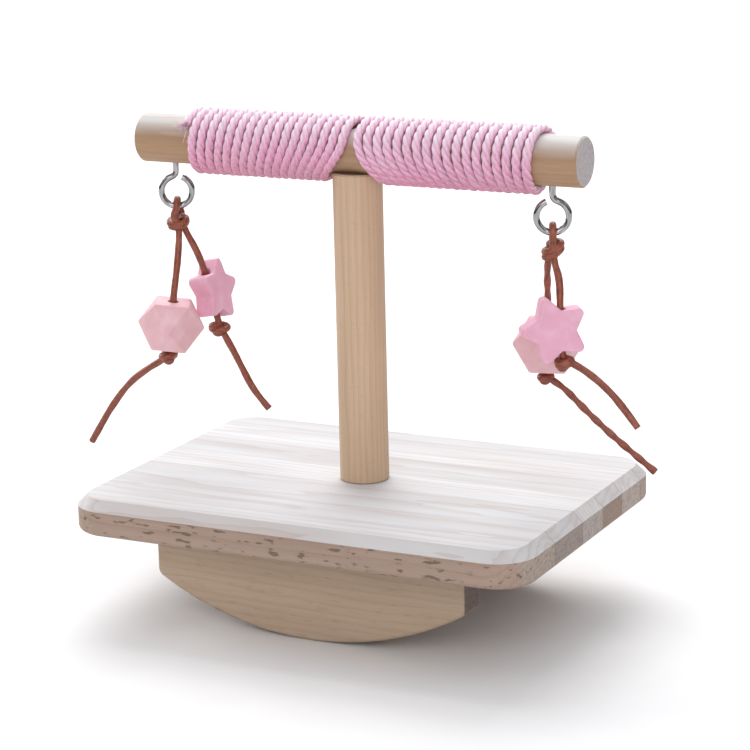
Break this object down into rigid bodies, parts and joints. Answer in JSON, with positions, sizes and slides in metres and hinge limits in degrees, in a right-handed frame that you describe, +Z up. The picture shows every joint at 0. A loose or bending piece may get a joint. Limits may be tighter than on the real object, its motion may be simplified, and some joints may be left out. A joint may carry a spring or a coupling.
{
  "type": "rocking bird perch",
  "caption": "Small wooden rocking perch: a glued board on curved rockers, a post with a rope-wound crossbar, and cord toys with faceted and star beads hanging from its ends.",
  "frame": {"origin": "on the floor, under the middle of the board", "axes": "+X along the crossbar and the board's long side, +Y from the front rocker to the rear one, +Z up"},
  "size_m": [0.1878, 0.108, 0.1516],
  "materials": {
    "board_wood": "sanded bare wood",
    "rocker_wood": "sanded bare wood",
    "dowel_wood": "sanded bare rod",
    "pin_wood": "bare dowel",
    "screw_steel": "zinc plated",
    "eye_plate": "bright nickel plate",
    "rope_cotton": "twisted soft cotton",
    "cord_leather": "round waxed cord",
    "faceted_paint": "matt pink paint",
    "star_paint": "matt pink paint"
  },
  "bodies": {
    "stand": {"board_stave_1": "board_wood", "board_stave_2": "board_wood", "board_stave_3": "board_wood", "board_stave_4": "board_wood", "board_stave_5": "board_wood", "board_stave_6": "board_wood", "front_rocker": "rocker_wood", "rear_rocker": "rocker_wood", "rocker_pins": "pin_wood", "post": "dowel_wood", "post_screw": "screw_steel", "crossbar": "dowel_wood", "bar_screw": "screw_steel", "rope_wrap_left": "rope_cotton", "rope_wrap_right": "rope_cotton", "left_screw_eye": "eye_plate", "right_screw_eye": "eye_plate"},
    "left_loop": {"left_cord_loop": "cord_leather", "left_top_knot": "cord_leather"},
    "left_bead_strand": {"left_bead_leg": "cord_leather", "left_bead_knot": "cord_leather", "left_bead_tail": "cord_leather"},
    "left_bead": {"left_faceted_bead": "faceted_paint"},
    "left_star_strand": {"left_star_leg": "cord_leather", "left_star_knot": "cord_leather", "left_star_tail": "cord_leather"},
    "left_star": {"left_star_bead": "star_paint"},
    "right_loop": {"right_cord_loop": "cord_leather", "right_top_knot": "cord_leather"},
    "right_bead_strand": {"right_bead_leg": "cord_leather", "right_bead_knot": "cord_leather", "right_bead_tail": "cord_leather"},
    "right_bead": {"right_faceted_bead": "faceted_paint"},
    "right_star_strand": {"right_star_leg": "cord_leather", "right_star_knot": "cord_leather", "right_star_tail": "cord_leather"},
    "right_star": {"right_star_bead": "star_paint"}
  },
  "joints": [
    {"name": "left_loop_swing", "type": "hinge", "parent": "stand", "child": "left_loop", "pos_m": [-0.0628, 0, 0.1202], "axis": [0.8988, 0.4384, 0], "range_deg": [-45, 45]},
    {"name": "left_bead_strand_swing", "type": "hinge", "parent": "left_loop", "child": "left_bead_strand", "pos_m": [-0.0617, -0.0014, 0.11175], "axis": [0, -1, 0], "range_deg": [-20, 10]},
    {"name": "left_bead_spin", "type": "hinge", "parent": "left_bead_strand", "child": "left_bead", "pos_m": [-0.06185, -0.00827, 0.08447], "axis": [0.14, 0.01, 0.9901], "continuous": true},
    {"name": "left_star_strand_swing", "type": "hinge", "parent": "left_bead_strand", "child": "left_star_strand", "pos_m": [-0.0608, 0.0014, 0.11175], "axis": [0, -1, 0], "range_deg": [0, 20]},
    {"name": "left_star_spin", "type": "hinge", "parent": "left_star_strand", "child": "left_star", "pos_m": [-0.05613, 0.00671, 0.09205], "axis": [-0.1794, -0.1196, 0.9765], "range_deg": [-10, 10]},
    {"name": "right_loop_swing", "type": "hinge", "parent": "stand", "child": "right_loop", "pos_m": [0.0628, 0, 0.1202], "axis": [0.9135, 0.4067, 0], "range_deg": [-45, 45]},
    {"name": "right_bead_strand_swing", "type": "hinge", "parent": "right_loop", "child": "right_bead_strand", "pos_m": [0.0632, 0, 0.11175], "axis": [0, -1, 0], "range_deg": [-15, 15]},
    {"name": "right_bead_spin", "type": "hinge", "parent": "right_bead_strand", "child": "right_bead", "pos_m": [0.05823, 0.0061, 0.08518], "axis": [0.0698, -0.01, 0.9975], "continuous": true},
    {"name": "right_star_strand_swing", "type": "hinge", "parent": "right_bead_strand", "child": "right_star_strand", "pos_m": [0.0636, -0.0011, 0.11175], "axis": [0, -1, 0], "range_deg": [-4, 20]},
    {"name": "right_star_spin", "type": "hinge", "parent": "right_star_strand", "child": "right_star", "pos_m": [0.06744, -0.00583, 0.0932], "axis": [-0.02, 0.01, 0.9997], "range_deg": [-10, 10]}
  ]
}
